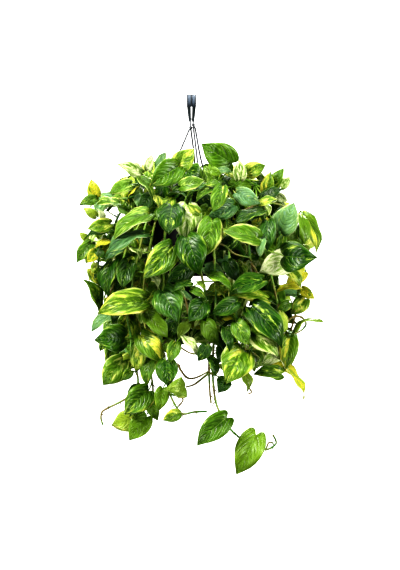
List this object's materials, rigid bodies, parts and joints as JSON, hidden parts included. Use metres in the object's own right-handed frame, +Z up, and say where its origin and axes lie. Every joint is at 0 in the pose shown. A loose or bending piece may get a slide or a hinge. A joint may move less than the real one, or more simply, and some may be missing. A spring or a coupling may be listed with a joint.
{
  "type": "hanging potted pothos",
  "caption": "Bushy variegated pothos in a black plastic hanging pot with a strap-and-rod hanger, its leafy stems trailing over the rim all round and well below the pot.",
  "frame": {"origin": "inside of the crown of the hanger's hook, where the plant hangs, on the pot's axis", "axes": "+Z up, -Y towards the front as pictured, +X to the right seen from the front"},
  "size_m": [0.5765, 0.5223, 0.8918],
  "materials": {
    "black_plastic": "moulded black polypropylene with a soft sheen",
    "potting_soil": "dark, damp peat and bark mix",
    "pothos_foliage": "waxy green leaf blades with yellow and cream streaks, on green stems"
  },
  "bodies": {
    "root": {"pot": "black_plastic", "soil": "potting_soil", "hanger_hook": "black_plastic", "strand_left": "black_plastic", "strand_back": "black_plastic", "strand_front": "black_plastic", "strand_right": "black_plastic", "vine_crown_1": "pothos_foliage", "vine_crown_2": "pothos_foliage", "vine_crown_3": "pothos_foliage", "vine_crown_4": "pothos_foliage", "vine_crown_5": "pothos_foliage", "vine_crown_6": "pothos_foliage", "vine_crown_7": "pothos_foliage", "vine_left_1": "pothos_foliage", "vine_left_2": "pothos_foliage", "vine_left_3": "pothos_foliage", "vine_front_1": "pothos_foliage", "vine_front_2": "pothos_foliage", "vine_front_3": "pothos_foliage", "vine_front_4": "pothos_foliage", "vine_front_5": "pothos_foliage", "vine_front_6": "pothos_foliage", "vine_front_7": "pothos_foliage", "vine_right_1": "pothos_foliage", "vine_right_2": "pothos_foliage", "vine_right_3": "pothos_foliage", "vine_right_4": "pothos_foliage", "vine_back_1": "pothos_foliage", "vine_back_2": "pothos_foliage", "vine_back_3": "pothos_foliage", "vine_back_4": "pothos_foliage", "vine_back_5": "pothos_foliage", "vine_back_6": "pothos_foliage", "vine_back_7": "pothos_foliage", "vine_back_8": "pothos_foliage", "vine_back_9": "pothos_foliage"}
  },
  "joints": []
}
